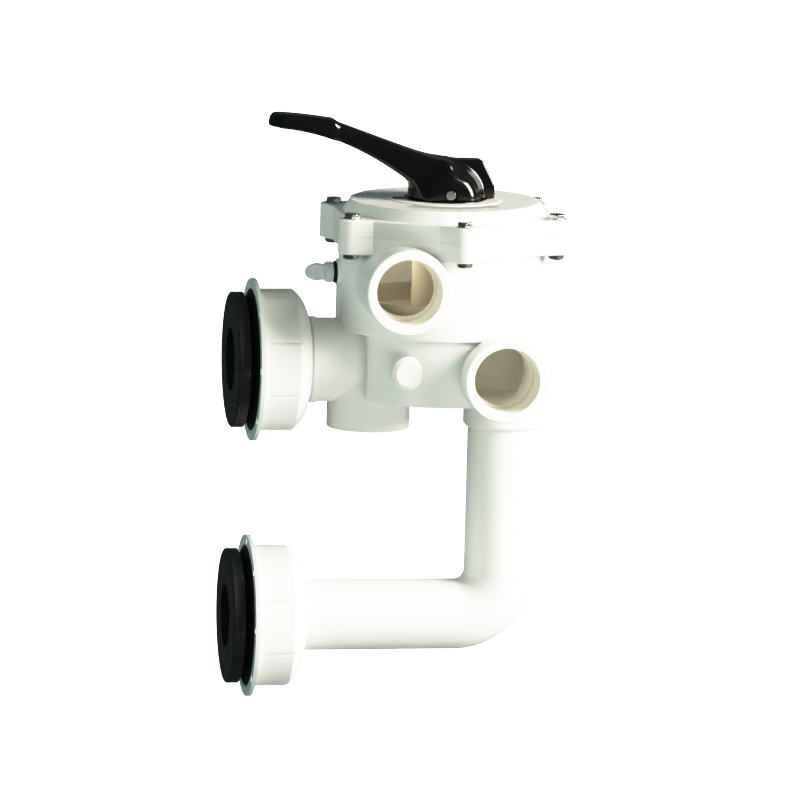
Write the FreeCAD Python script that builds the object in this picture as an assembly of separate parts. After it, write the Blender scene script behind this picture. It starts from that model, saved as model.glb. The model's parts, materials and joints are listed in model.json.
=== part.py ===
import FreeCAD, Part
import math
import os

# Two-inch multiport valve with its side-mount plumbing kit, in millimetres.
# -X points at the filter tank, -Y at the pump and return ports, +Z up the rotor stem.
# Every piece is drawn about the point where the rotor axis crosses the upper filter port's
# axis. On export it moves along X, so that the part's origin is the centre of the upper
# ring's bolt circle, on the face that looks at the tank.

V = FreeCAD.Vector
ORIGIN = V(0, 0, 0)
X_AXIS = V(1, 0, 0)
Y_AXIS = V(0, 1, 0)
Z_AXIS = V(0, 0, 1)

# Standard sizes that drive the layout.
PORT_SPACING = 230.0          # between the two filter port axes
PIPE_R = 31.5                 # outside of 63 mm pressure pipe
PIPE_BORE_R = 27.2
THREAD_R = 29.07              # pitch radius of a G2 female thread
THREAD_DEPTH = 26.0
PORT_BORE_R = 26.0
GLUE_GAP = 0.05               # radial gap in a solvent-welded socket
RUN_GAP = 0.05                # radial gap of a running fit

# Valve body levels and radii.
DRUM_R = 92.6
CHAMBER_R = 84.0
LOWER_DRUM_R = 87.5
LOWER_CHAMBER_R = 81.0
LOWER_BOTTOM = -30.0
FLOOR_TOP = -24.0
SEAT_UNDER = 24.0
DRUM_STEP = 29.0
SEAT_TOP = 32.0
FLANGE_UNDER = 102.0
PARTING = 118.0
PLATE_TOP = 132.5
DIAL_TOP = 142.8
BOSS_TOP = 143.6
LEFT_FLAT_X = -73.0
WEB_X = 3.0                   # half thickness of the web across the lower drum
RETURN_WEB_Y = (-30.0, -27.0)

# Hexagonal flanges with six bolt lugs.
HEX_APOTHEM = 95.0
LUG_ANGLES = (30, 90, 150, 210, 270, 330)
BOLT_CIRCLE_R = 104.8
LUG_TIP_R = 12.0
LUG_SIDE_NORMAL = 52.0        # degrees from the lug's own direction
LUG_SIDE_RUN = 30.0
BOLT_HOLE_R = 4.5

# Ports: centres as (x, z) on the front, (x, y) underneath.
OUTLET_FACE_Y = -110.0
OUTLET_R = 37.2
PUMP_XZ = (-48.0, 75.5)
RETURN_XZ = (40.0, -2.0)
STUB_X = -64.0
STUB_R = 36.9
UNDER_PORT_Z = -60.0
SOCKET_X = 57.7
SOCKET_R = 35.7
SOCKET_DEPTH = 26.0
NECK_R = 37.1
NECK_END_X = -113.0
NECK_SOCKET_X = -92.0
NECK_BORE_R = 23.0
RISER_X = -50.0
RISER_R = 19.0
TUBE_WALL = 4.0
BLIND_BOSS_XZ = (-41.5, 0.0)

# Rotor, stem and spring.
STEM_R = 12.0
PIN_Z = 150.0
PIN_R = 4.2
PIN_HALF = 31.0
STEM_TOP = 158.0
STEM_FLAT = 9.0
GASKET_TOP = 34.0
ROTOR_R = 80.0
ROTOR_HUB_R = 28.0
ROTOR_HUB_TOP = 62.0
CUP_R = 27.5                  # sleeve on the rotor around the spring
CUP_TOP = 100.0
SPRING_R = 21.0
SPRING_WIRE_R = 2.0
SPRING_TURNS = 6
SPRING_SEAT = 126.0           # underside of the cover's centre
STEM_RING_Z = (117.5, 126.5)

# Handle.
HANDLE_BOTTOM = 144.5
DOME_R = 33.2
DOME_Z = 147.0                # centre of the dome's sphere
PIN_BOSS_R = 23.5             # arched bosses that carry the pin's ends
PIN_BOSS_Y = 30.0
HEEL_HALF = 9.0               # half thickness of the fin behind the dome

# Unions and tank connectors, along X.
NUT_LEFT_X = -166.0
NUT_RIGHT_X = -121.0
NUT_R = 62.6
NUT_HOLE_R = 38.4
NUT_THREAD_R = 51.6
NUT_STOP_X = -140.0
TAIL_FLANGE_R = 49.0
TAIL_FACE_X = -151.0
TAIL_BARREL_R = 37.0
TAIL_BEAD_R = 38.2
RING_R = 71.8
RING_BOLT_R = 67.0
RING_X = (-170.0, -166.5)
CONNECTOR_R = 51.5
CONNECTOR_FLANGE_R = 59.9
CONNECTOR_END_X = -188.0
CONNECTOR_BORE_R = 28.0

# M8 cover bolts, nuts and washers.
BOLT_R = 4.0
BOLT_FLATS = 13.0
WASHER_R = 8.0
WASHER_T = 1.0
HEAD_H = 3.8                  # low heads and thin nuts
HEAD_TURN = 20.0              # degrees that the tightened heads and nuts are turned
NUT_H = 4.0
NUT_TURN = 27.0
HEX_TRIM = 1.3
BOLT_PAST_NUT = 0.4
HEAD_Z = PLATE_TOP + WASHER_T
NUT_TOP_Z = FLANGE_UNDER - WASHER_T

# Bleed plug on the filter side of the upper drum.
PLUG_Z = 78.0
PLUG_SEAT_X = -95.4
PLUG_THREAD_R = 6.58          # G1/4


def polar(radius, angle, z=0.0):
    """Point at an angle in degrees about the rotor axis."""
    turn = math.radians(angle)
    return V(radius * math.cos(turn), radius * math.sin(turn), z)


def rod(radius, start, end):
    """Solid cylinder between two points."""
    axis = end - start
    return Part.makeCylinder(radius, axis.Length, start, axis)


def tube(outer, inner, start, end):
    """Cylinder with a bore, between two points."""
    return rod(outer, start, end).cut(rod(inner, start, end))


def upright(radius, z_low, z_high, x=0.0, y=0.0):
    """Solid vertical cylinder."""
    return rod(radius, V(x, y, z_low), V(x, y, z_high))


def slab(low, high):
    """Box between its lowest and highest corners."""
    size = high - low
    return Part.makeBox(size.x, size.y, size.z, low)


def face_xz(points):
    """Face in the XZ plane; a point given as (middle, end) is reached by an arc."""
    edges = []
    last = V(points[0][0], 0, points[0][1])
    for point in points[1:] + points[:1]:
        if isinstance(point[0], tuple):
            middle, end = [V(a, 0, b) for a, b in point]
            edges.append(Part.Arc(last, middle, end).toShape())
        else:
            end = V(point[0], 0, point[1])
            edges.append(Part.makeLine(last, end))
        last = end
    return Part.Face(Part.Wire(edges))


def turned(points, axis):
    """Solid of revolution of a face in the XZ plane."""
    return face_xz(points).revolve(ORIGIN, axis, 360)


def sector(inner, outer, angles, z_low, z_high):
    """Part of a flat ring between two angles."""
    blank = face_xz([(inner, z_low), (outer, z_low), (outer, z_high), (inner, z_high)])
    piece = blank.revolve(ORIGIN, Z_AXIS, angles[1] - angles[0])
    piece.rotate(ORIGIN, Z_AXIS, angles[0])
    return piece


def around(shape, angle):
    """Copy of a shape turned about the rotor axis."""
    copy = shape.copy()
    copy.rotate(ORIGIN, Z_AXIS, angle)
    return copy


def joined(shapes):
    """One solid from overlapping shapes, without leftover seams."""
    return shapes[0].multiFuse(shapes[1:]).removeSplitter()


def round_end(shape, centre, radius):
    """Fillet the circular edges that are centred on a point."""
    edges = [e for e in shape.Edges if (e.CenterOfMass - centre).Length < 0.01]
    return shape.makeFillet(radius, edges)


def lug():
    """Footprint of one tapered lug with a round tip, pointing along +X."""
    side = math.radians(LUG_SIDE_NORMAL)
    tip_x = BOLT_CIRCLE_R + LUG_TIP_R * math.cos(side)
    tip_y = LUG_TIP_R * math.sin(side)
    root_x = tip_x - LUG_SIDE_RUN * math.sin(side)
    root_y = tip_y + LUG_SIDE_RUN * math.cos(side)
    nose = V(BOLT_CIRCLE_R + LUG_TIP_R, 0, 0)
    edges = [
        Part.makeLine(V(root_x, -root_y, 0), V(tip_x, -tip_y, 0)),
        Part.Arc(V(tip_x, -tip_y, 0), nose, V(tip_x, tip_y, 0)).toShape(),
        Part.makeLine(V(tip_x, tip_y, 0), V(root_x, root_y, 0)),
        Part.makeLine(V(root_x, root_y, 0), V(root_x, -root_y, 0)),
    ]
    return Part.Face(Part.Wire(edges))


def lugged_plate(z_low, z_high):
    """Hexagonal flange with a bolt lug at each corner."""
    rise = V(0, 0, z_high - z_low)
    corner_r = HEX_APOTHEM / math.cos(math.radians(30))
    corners = [polar(corner_r, angle) for angle in LUG_ANGLES]
    shapes = [Part.Face(Part.makePolygon(corners + corners[:1])).extrude(rise)]
    for angle in LUG_ANGLES:
        shapes.append(around(lug().extrude(rise), angle))
    plate = joined(shapes)
    plate.translate(V(0, 0, z_low))
    return plate


def rounded_faces(plate, z, radius):
    """Fillet the outline of a plate's face at one height."""
    edges = [e for e in plate.Edges if abs(e.BoundBox.ZMin - z) < 0.01 and abs(e.BoundBox.ZMax - z) < 0.01]
    return plate.makeFillet(radius, edges)


def bolt_holes(z_low, z_high):
    """Six clearance holes through the lugs."""
    holes = []
    for angle in LUG_ANGLES:
        centre = polar(BOLT_CIRCLE_R, angle)
        holes.append(upright(BOLT_HOLE_R, z_low, z_high, centre.x, centre.y))
    return holes


def front_rod(radius, xz, y_front, y_back):
    """Cylinder along Y, named by its centre as (x, z)."""
    return rod(radius, V(xz[0], y_front, xz[1]), V(xz[0], y_back, xz[1]))


def outlet(xz, y_back):
    """Outside of a front port, with a rounded mouth rim."""
    barrel = front_rod(OUTLET_R, xz, OUTLET_FACE_Y, y_back)
    return round_end(barrel, V(xz[0], OUTLET_FACE_Y, xz[1]), 1.8)


def blind_boss():
    """Unused round boss on the front of the lower drum."""
    face_y = -82.0
    rim = 2.5
    base = front_rod(15.0, BLIND_BOSS_XZ, face_y + rim, -60)
    start = V(BLIND_BOSS_XZ[0], face_y + rim, BLIND_BOSS_XZ[1])
    return base.fuse(Part.makeCone(15.0, 11.5, rim, start, V(0, -1, 0)))


def body_outside():
    """Everything that is solid before the passages are cut."""
    overlap = 1.0
    lower = upright(LOWER_DRUM_R, LOWER_BOTTOM, DRUM_STEP + overlap)
    lower = round_end(lower, V(0, 0, LOWER_BOTTOM), 2.0)
    lower = lower.cut(slab(V(-120, -100, -50), V(LEFT_FLAT_X, 100, 50)))
    stub = upright(STUB_R, UNDER_PORT_Z, 0, STUB_X)
    chamfer = 3.0
    socket = upright(SOCKET_R, UNDER_PORT_Z + chamfer, FLOOR_TOP, SOCKET_X)
    rim = Part.makeCone(SOCKET_R - chamfer + 0.3, SOCKET_R, chamfer, V(SOCKET_X, 0, UNDER_PORT_Z))
    plate = rounded_faces(lugged_plate(FLANGE_UNDER, PARTING), FLANGE_UNDER, 1.2)
    return joined([
        round_end(upright(DRUM_R, DRUM_STEP, FLANGE_UNDER + overlap), V(0, 0, DRUM_STEP), 1.5),
        lower,
        plate,
        rod(NECK_R, V(RISER_X, 0, 0), V(NECK_END_X, 0, 0)),
        round_end(stub, V(STUB_X, 0, UNDER_PORT_Z), 1.5),
        socket,
        rim,
        outlet(PUMP_XZ, -45),
        outlet(RETURN_XZ, RETURN_WEB_Y[0] - overlap),
        blind_boss(),
        rod(12.0, V(-85, 0, PLUG_Z), V(PLUG_SEAT_X, 0, PLUG_Z)),
        slab(V(-94.6, -4, 33), V(-88, 4, PLUG_Z)),
    ])


def seat_openings(z_low, z_high):
    """Openings through the seat to the filter, waste and return chambers."""
    return [
        upright(RISER_R, z_low, z_high, RISER_X),
        sector(34, 72, (98, 146), z_low, z_high),
        sector(34, 72, (-10, 50), z_low, z_high),
        sector(46, 74, (-80, -42), z_low, z_high),
    ]


def waste_chamber():
    """Left half of the lower drum, around the filter passage, down into the stub."""
    drum = upright(LOWER_CHAMBER_R, FLOOR_TOP, SEAT_UNDER)
    chamber = drum.common(slab(V(LEFT_FLAT_X + 6, -90, -40), V(-WEB_X, 90, 40)))
    down = upright(PORT_BORE_R, UNDER_PORT_Z + THREAD_DEPTH - 1, -2, STUB_X)
    passage_end = RISER_X + RISER_R + TUBE_WALL
    sleeve = rod(NECK_BORE_R + TUBE_WALL, V(-120, 0, 0), V(passage_end, 0, 0))
    riser = upright(RISER_R + TUBE_WALL, 0, SEAT_UNDER, RISER_X)
    return chamber.fuse(down).cut(sleeve).cut(riser)


def right_chambers():
    """Return chamber at the front right and the filter chamber behind it."""
    drum = upright(LOWER_CHAMBER_R, FLOOR_TOP, SEAT_UNDER)
    front = drum.common(slab(V(WEB_X, -90, -40), V(90, RETURN_WEB_Y[0], 40)))
    back = drum.common(slab(V(WEB_X, RETURN_WEB_Y[1], -40), V(90, 90, 40)))
    return [front, back]


def outlet_bore(xz, y_end):
    """Threaded mouth and bore of a front port."""
    step_y = OUTLET_FACE_Y + THREAD_DEPTH
    mouth = front_rod(THREAD_R, xz, OUTLET_FACE_Y - 1, step_y)
    return mouth.fuse(front_rod(PORT_BORE_R, xz, step_y - 1, y_end))


def body_passages():
    """Every hollow that is cut from the body."""
    socket_top = UNDER_PORT_Z + SOCKET_DEPTH
    passage_end = V(RISER_X + RISER_R, 0, 0)
    groove = tube(90.2, 86.0, V(0, 0, PARTING - 3.4), V(0, 0, PARTING + 1))
    hollows = [
        upright(CHAMBER_R, SEAT_TOP, PARTING + 1),
        waste_chamber(),
        rod(PIPE_R, V(NECK_END_X - 1, 0, 0), V(NECK_SOCKET_X, 0, 0)),
        rod(NECK_BORE_R, V(NECK_SOCKET_X - 1, 0, 0), passage_end),
        upright(RISER_R, 0, SEAT_UNDER + 1, RISER_X),
        upright(PIPE_R + GLUE_GAP, UNDER_PORT_Z - 1, socket_top, SOCKET_X),
        upright(25.0, socket_top - 1, FLOOR_TOP + 1, SOCKET_X),
        upright(THREAD_R, UNDER_PORT_Z - 1, UNDER_PORT_Z + THREAD_DEPTH, STUB_X),
        outlet_bore(PUMP_XZ, -38),
        outlet_bore(RETURN_XZ, RETURN_WEB_Y[0] - 4),
        rod(PLUG_THREAD_R + RUN_GAP, V(PLUG_SEAT_X - 1, 0, PLUG_Z), V(-78, 0, PLUG_Z)),
        groove,
    ]
    hollows += right_chambers()
    hollows += seat_openings(SEAT_UNDER - 1, SEAT_TOP + 1)
    hollows += bolt_holes(FLANGE_UNDER - 1, PARTING + 1)
    return hollows


def valve_body():
    """Moulded body with drum, chambers, seat, ports and bolting flange."""
    return body_outside().cut(body_passages())


def facet():
    """Wedge that flattens the cover's cone in front of a bolt, pointing along +X."""
    profile = [(82.2, DIAL_TOP + 0.1), (88.6, PLATE_TOP), (104, PLATE_TOP), (104, DIAL_TOP + 0.1)]
    wedge = face_xz(profile).extrude(V(0, 60, 0))
    wedge.translate(V(0, -30, 0))
    return wedge


def cover():
    """Bolted lid with the dial recess, stem bush and ribbed underside."""
    plate = rounded_faces(lugged_plate(PARTING, PLATE_TOP), PLATE_TOP, 1.2)
    cone = Part.makeCone(90.0, 83.5, DIAL_TOP - PLATE_TOP, V(0, 0, PLATE_TOP))
    cone = cone.cut([around(facet(), angle) for angle in LUG_ANGLES])
    centre = round_end(upright(50.0, DIAL_TOP - 2, BOSS_TOP), V(0, 0, BOSS_TOP), 0.5)
    lip = tube(CHAMBER_R - 0.1, 80.0, V(0, 0, PARTING - 5), V(0, 0, PARTING + 1))
    bush = upright(16.0, PARTING - 6, SPRING_SEAT + 1)
    ceiling = 136.0
    hollow = tube(80.0, 30.0, V(0, 0, PARTING - 6), V(0, 0, ceiling))
    ribs = [around(slab(V(28, -1.5, PARTING + 2), V(81, 1.5, ceiling)), angle) for angle in LUG_ANGLES]
    centre_hollow = tube(30.0, 16.0, V(0, 0, PARTING - 6), V(0, 0, SPRING_SEAT))
    recess = tube(79.6, 50.2, V(0, 0, DIAL_TOP - 0.8), V(0, 0, DIAL_TOP + 1))
    shell = joined([plate, cone, centre, lip]).cut([hollow.cut(ribs), centre_hollow, recess])
    shell = shell.fuse(bush)
    bore = upright(STEM_R + RUN_GAP * 2, PARTING - 7, BOSS_TOP + 1)
    return shell.cut([bore] + bolt_holes(PARTING - 1, PLATE_TOP + 1))


def dial_plate():
    """Position ring that lies in the cover's recess."""
    return tube(79.5, 50.3, V(0, 0, DIAL_TOP - 0.8), V(0, 0, DIAL_TOP))


def hex_prism(across_flats, z_low, z_high, turn):
    """Hexagonal bar on the Z axis, with its corners chamfered at the top."""
    corner_r = across_flats / math.sqrt(3)
    corners = [polar(corner_r, 60 * k + turn, z_low) for k in range(6)]
    bar = Part.Face(Part.makePolygon(corners + corners[:1])).extrude(V(0, 0, z_high - z_low))
    shoulder = z_high - HEX_TRIM
    cap = Part.makeCone(corner_r + 0.2, across_flats / 2 - 0.9, HEX_TRIM, V(0, 0, shoulder))
    return bar.common(upright(corner_r + 0.2, z_low, shoulder).fuse(cap))


def on_lugs(shape):
    """Six copies of a fastener, one on each lug."""
    copies = []
    for angle in LUG_ANGLES:
        copy = shape.copy()
        copy.translate(polar(BOLT_CIRCLE_R, angle))
        copies.append(copy)
    return Part.makeCompound(copies)


def cover_bolts():
    """Six M8 hex bolts."""
    head = hex_prism(BOLT_FLATS, HEAD_Z, HEAD_Z + HEAD_H, HEAD_TURN)
    shank = upright(BOLT_R, NUT_TOP_Z - NUT_H - BOLT_PAST_NUT, HEAD_Z + 0.5)
    return on_lugs(head.fuse(shank).removeSplitter())


def cover_nuts():
    """Six M8 hex nuts under the body flange."""
    nut = hex_prism(BOLT_FLATS, 0, NUT_H, NUT_TURN)
    nut.rotate(ORIGIN, X_AXIS, 180)
    nut.translate(V(0, 0, NUT_TOP_Z))
    return on_lugs(nut.cut(upright(BOLT_R + 0.02, NUT_TOP_Z - NUT_H - 1, NUT_TOP_Z + 1)))


def cover_washers():
    """Twelve plain washers, one under each head and each nut."""
    pairs = []
    for low in (PLATE_TOP, NUT_TOP_Z):
        pairs.append(tube(WASHER_R, BOLT_R + 0.2, V(0, 0, low), V(0, 0, low + WASHER_T)))
    return on_lugs(Part.makeCompound(pairs))


def o_ring(mean_r, cord_r, centre, axis):
    """Plain round-section seal."""
    return Part.makeTorus(mean_r, cord_r, centre, axis)


def cover_o_ring():
    """Seal in the body's groove, under the cover."""
    return o_ring(88.1, 1.65, V(0, 0, PARTING - 1.7), Z_AXIS)


def spider_gasket():
    """Rubber seal on the seat: a rim and hub joined by flat spokes between the openings."""
    rim = tube(80.0, 74.5, V(0, 0, SEAT_TOP), V(0, 0, GASKET_TOP))
    hub = tube(31.0, 24.0, V(0, 0, SEAT_TOP), V(0, 0, GASKET_TOP))
    spokes = []
    for angle in (-88, -26, 74, 150, 210):
        spokes.append(around(slab(V(27, -2.5, SEAT_TOP), V(77, 2.5, GASKET_TOP)), angle))
    return joined([rim, hub] + spokes)


def rotor():
    """Diverter disc with a through opening, a bridging hood, a spring cup and the stem."""
    bottom = GASKET_TOP + RUN_GAP
    plate_top = 42.0
    hood_top = 56.0
    disc = upright(ROTOR_R, bottom, plate_top)
    rim = tube(ROTOR_R, 75.0, V(0, 0, bottom), V(0, 0, 58))
    hood = sector(42, 74, (-84, 54), bottom, hood_top)
    hub = upright(ROTOR_HUB_R, bottom, ROTOR_HUB_TOP)
    cup = tube(CUP_R, CUP_R - 3, V(0, 0, ROTOR_HUB_TOP - 1), V(0, 0, CUP_TOP))
    stem = upright(STEM_R, bottom, STEM_TOP)
    flats = [slab(V(-20, s, PIN_Z - 5), V(20, s + 20, STEM_TOP + 1)) for s in (STEM_FLAT, -STEM_FLAT - 20)]
    stem = round_end(stem, V(0, 0, STEM_TOP), 1.0).cut(flats)
    solid = joined([disc, rim, hood, hub, cup, stem])
    grooves = [tube(STEM_R + 1, 9.6, V(0, 0, z - 1.3), V(0, 0, z + 1.3)) for z in STEM_RING_Z]
    bridge = sector(46, 70, (-79, 49), bottom - 1, hood_top - 4)
    window = upright(RISER_R - 1, bottom - 1, plate_top + 1, RISER_X)
    eye = rod(PIN_R + RUN_GAP, V(0, -20, PIN_Z), V(0, 20, PIN_Z))
    return solid.cut(grooves + [bridge, window, eye])


def stem_o_rings():
    """Two seals in the stem's grooves."""
    return Part.makeCompound([o_ring(10.83, 1.2, V(0, 0, z), Z_AXIS) for z in STEM_RING_Z])


def spring():
    """Compression spring between the rotor's hub and the cover."""
    low = ROTOR_HUB_TOP + 0.1 + SPRING_WIRE_R
    high = SPRING_SEAT - 1.75 - SPRING_WIRE_R
    steps_per_turn = 16
    steps = SPRING_TURNS * steps_per_turn
    points = []
    for k in range(steps + 1):
        points.append(polar(SPRING_R, 360 * k / steps_per_turn, low + (high - low) * k / steps))
    curve = Part.BSplineCurve()
    curve.interpolate(points)
    path = Part.Wire(curve.toShape())
    start = curve.tangent(curve.FirstParameter)[0]
    circle = Part.Wire(Part.makeCircle(SPRING_WIRE_R, points[0], start))
    return Part.Solid(path.makePipeShell([circle], True, True))


def spring_washer():
    """Slip washer between the spring and the cover."""
    return tube(27.0, 17.5, V(0, 0, SPRING_SEAT - 1.6), V(0, 0, SPRING_SEAT - 0.1))


def pointer_washer():
    """Thin washer under the handle, with a pointer tab."""
    low = BOSS_TOP + RUN_GAP
    high = HANDLE_BOTTOM - RUN_GAP
    disc = upright(37.0, low, high)
    tab = [V(-30, -6, low), V(-47, -2.5, low), V(-47, 2.5, low), V(-30, 6, low)]
    pointer = Part.Face(Part.makePolygon(tab + tab[:1])).extrude(V(0, 0, high - low))
    return disc.fuse(pointer).removeSplitter().cut(upright(STEM_R + RUN_GAP, low - 1, high + 1))


def handle_pin():
    """Cross pin through the stem's eye."""
    return rod(PIN_R, V(0, -PIN_HALF, PIN_Z), V(0, PIN_HALF, PIN_Z))


def arm_side():
    """Side outline of the handle's arm, with the thumb step near its tip."""
    return face_xz([
        (-20.0, 150.0), (8.0, 150.0), (8.0, 179.6), (-6.0, 180.0), ((-14.0, 181.3), (-22.0, 184.0)),
        (-94.5, 208.6), (-97.0, 210.5), (-101.0, 212.5), ((-127.0, 216.3), (-151.0, 218.0)),
        ((-158.0, 213.5), (-156.6, 207.2)), ((-108.0, 198.2), (-48.0, 169.2)),
    ])


def arm_plan():
    """Top outline of the arm: parallel grip that widens into the dome."""
    half = 14.0
    edges = [
        Part.Arc(V(-143, half, 0), V(-158.6, 0, 0), V(-143, -half, 0)).toShape(),
        Part.makeLine(V(-143, -half, 0), V(-90, -half, 0)),
        Part.Arc(V(-90, -half, 0), V(-50, -16.5, 0), V(-20, -22, 0)).toShape(),
        Part.makeLine(V(-20, -22, 0), V(8, -24, 0)),
        Part.makeLine(V(8, -24, 0), V(8, 24, 0)),
        Part.makeLine(V(8, 24, 0), V(-20, 22, 0)),
        Part.Arc(V(-20, 22, 0), V(-50, 16.5, 0), V(-90, half, 0)).toShape(),
        Part.makeLine(V(-90, half, 0), V(-143, half, 0)),
    ]
    return Part.Face(Part.Wire(edges))


def arm():
    """Sloping arm: the side outline carried across the top outline."""
    side = arm_side().extrude(V(0, 60, 0))
    side.translate(V(0, -30, 0))
    plan = arm_plan().extrude(V(0, 0, 100))
    plan.translate(V(0, 0, 140))
    return side.common(plan)


def dome():
    """Half-round base of the handle, flat at the pin's ends, with an arched boss there."""
    above = slab(V(-60, -60, DOME_Z), V(60, 60, DOME_Z + 60))
    cap = Part.makeSphere(DOME_R, V(0, 0, DOME_Z)).common(above)
    base = upright(DOME_R, HANDLE_BOTTOM, DOME_Z)
    arch = rod(PIN_BOSS_R, V(0, -PIN_BOSS_Y, HANDLE_BOTTOM), V(0, PIN_BOSS_Y, HANDLE_BOTTOM))
    arch = arch.common(slab(V(-60, -60, HANDLE_BOTTOM), V(60, 60, DOME_Z + 60)))
    between = slab(V(-60, -PIN_BOSS_Y, HANDLE_BOTTOM), V(60, PIN_BOSS_Y, DOME_Z + 60))
    return joined([cap, base, arch]).common(between)


def handle():
    """Lever handle: domed base, heel fin, sloping arm and a thumb step near the tip."""
    heel_outline = [(0, HANDLE_BOTTOM), (43, HANDLE_BOTTOM), (42.8, 157.2), (32, 178.5), (0, 179.3)]
    heel = face_xz(heel_outline).extrude(V(0, 2 * HEEL_HALF, 0))
    heel.translate(V(0, -HEEL_HALF, 0))
    solid = joined([dome(), heel, arm()])
    stem_room = slab(V(-16, -STEM_FLAT - 0.1, 140), V(16, STEM_FLAT + 0.1, 167))
    stem_room = stem_room.fuse(upright(15.0, 140, PIN_Z - 3))
    pin_hole = rod(PIN_R + RUN_GAP, V(0, -60, PIN_Z), V(0, 60, PIN_Z))
    return solid.cut([stem_room, pin_hole])


def union_nut():
    """Large hand nut with eight grip pads parted by shallow grooves."""
    rim_x = NUT_LEFT_X + 3.5
    profile = [
        (NUT_LEFT_X, NUT_THREAD_R), (NUT_LEFT_X, NUT_R + 0.5), (rim_x, NUT_R + 0.5), (rim_x, NUT_R),
        (-134.0, NUT_R), ((-126.3, 54.5), (NUT_RIGHT_X, 41.5)), (NUT_RIGHT_X, NUT_HOLE_R),
        (NUT_STOP_X, NUT_HOLE_R), (NUT_STOP_X, NUT_THREAD_R),
    ]
    nut = turned(profile, X_AXIS)
    grooves = []
    for k in range(8):
        groove = slab(V(rim_x + 1, -1.6, NUT_R - 1.3), V(-130.5, 1.6, NUT_R + 5))
        groove.rotate(ORIGIN, X_AXIS, 22.5 + 45 * k)
        grooves.append(groove)
    return nut.cut(grooves)


def tail_groove():
    """Seal groove in the tailpiece's face."""
    return tube(45.2, 40.0, V(TAIL_FACE_X - 1, 0, 0), V(TAIL_FACE_X + 3.2, 0, 0))


def upper_tailpiece():
    """Union end glued into the valve's neck."""
    bead = tube(TAIL_BEAD_R, PIPE_BORE_R, V(-118.5, 0, 0), V(NECK_END_X, 0, 0))
    spigot = rod(PIPE_R - GLUE_GAP, V(NECK_END_X - 1, 0, 0), V(NECK_SOCKET_X - 0.5, 0, 0))
    barrel = rod(TAIL_BARREL_R, V(NUT_STOP_X, 0, 0), V(-118, 0, 0))
    flange = rod(TAIL_FLANGE_R, V(TAIL_FACE_X, 0, 0), V(NUT_STOP_X - 0.1, 0, 0))
    solid = joined([bead, spigot, barrel, flange, rod(TAIL_BARREL_R, V(-145, 0, 0), V(-139, 0, 0))])
    bore = rod(PIPE_BORE_R, V(TAIL_FACE_X - 1, 0, 0), V(NECK_SOCKET_X, 0, 0))
    return solid.cut([bore, tail_groove()])


def lower_tailpiece():
    """Union end glued over the return pipe."""
    stop_x = -147.0
    barrel = rod(TAIL_BARREL_R, V(-145, 0, 0), V(-122, 0, 0))
    flange = rod(TAIL_FLANGE_R, V(TAIL_FACE_X, 0, 0), V(NUT_STOP_X - 0.1, 0, 0))
    bore = rod(PIPE_BORE_R, V(TAIL_FACE_X - 1, 0, 0), V(stop_x + 1, 0, 0))
    socket = rod(PIPE_R + GLUE_GAP, V(stop_x, 0, 0), V(-121, 0, 0))
    return joined([barrel, flange]).cut([bore, socket, tail_groove()])


def union_o_ring():
    """Seal in the tailpiece's face."""
    return o_ring(42.6, 1.5, V(TAIL_FACE_X + 1.6, 0, 0), X_AXIS)


def flange_ring():
    """Thin drilled ring behind the nut."""
    ring = tube(RING_R, CONNECTOR_R + 0.2, V(RING_X[0], 0, 0), V(RING_X[1], 0, 0))
    holes = []
    for k in range(8):
        hole = rod(3.1, V(RING_X[0] - 1, RING_BOLT_R, 0), V(RING_X[1] + 1, RING_BOLT_R, 0))
        hole.rotate(ORIGIN, X_AXIS, 45 * k)
        holes.append(hole)
    return ring.cut(holes)


def tank_gasket():
    """Tapered rubber seal against the tank wall."""
    wide_x = RING_X[0]
    inner = CONNECTOR_R + 0.1
    return turned([(wide_x, inner), (wide_x, 62.5), (-175.0, 52.8), (-175.0, inner)], X_AXIS)


def tank_connector():
    """Threaded bulkhead fitting with a flange inside the tank."""
    end_x = CONNECTOR_END_X
    face_x = TAIL_FACE_X - 0.1
    return turned([
        (end_x, CONNECTOR_BORE_R), (end_x, CONNECTOR_FLANGE_R - 1), (end_x + 1, CONNECTOR_FLANGE_R),
        (-177.8, CONNECTOR_FLANGE_R), (-175.2, 52.6), (-175.2, CONNECTOR_R), (face_x, CONNECTOR_R),
        (face_x, CONNECTOR_BORE_R),
    ], X_AXIS)


def at_lower_port(shape):
    """Move a union piece from the upper filter port to the lower one."""
    shape.translate(V(0, 0, -PORT_SPACING))
    return shape


def bent_bar(radius):
    """Solid bar along the return pipe's centre line: down, round the bend, to the filter."""
    bend_r = 40.0
    bend_z = bend_r - PORT_SPACING
    end_x = -146.9
    down = upright(radius, bend_z, UNDER_PORT_Z + SOCKET_DEPTH - 0.1, SOCKET_X)
    circle = Part.Wire(Part.makeCircle(radius, V(SOCKET_X, 0, bend_z), Z_AXIS))
    pivot = V(SOCKET_X - bend_r, 0, bend_z)
    elbow = Part.Face(circle).revolve(pivot, Y_AXIS, 90)
    across = rod(radius, V(end_x, 0, -PORT_SPACING), V(SOCKET_X - bend_r, 0, -PORT_SPACING))
    return down.fuse([elbow, across])


def return_pipe():
    """One-piece bent pipe from the socket to the lower union."""
    return bent_bar(PIPE_R).removeSplitter().cut(bent_bar(PIPE_BORE_R))


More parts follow.
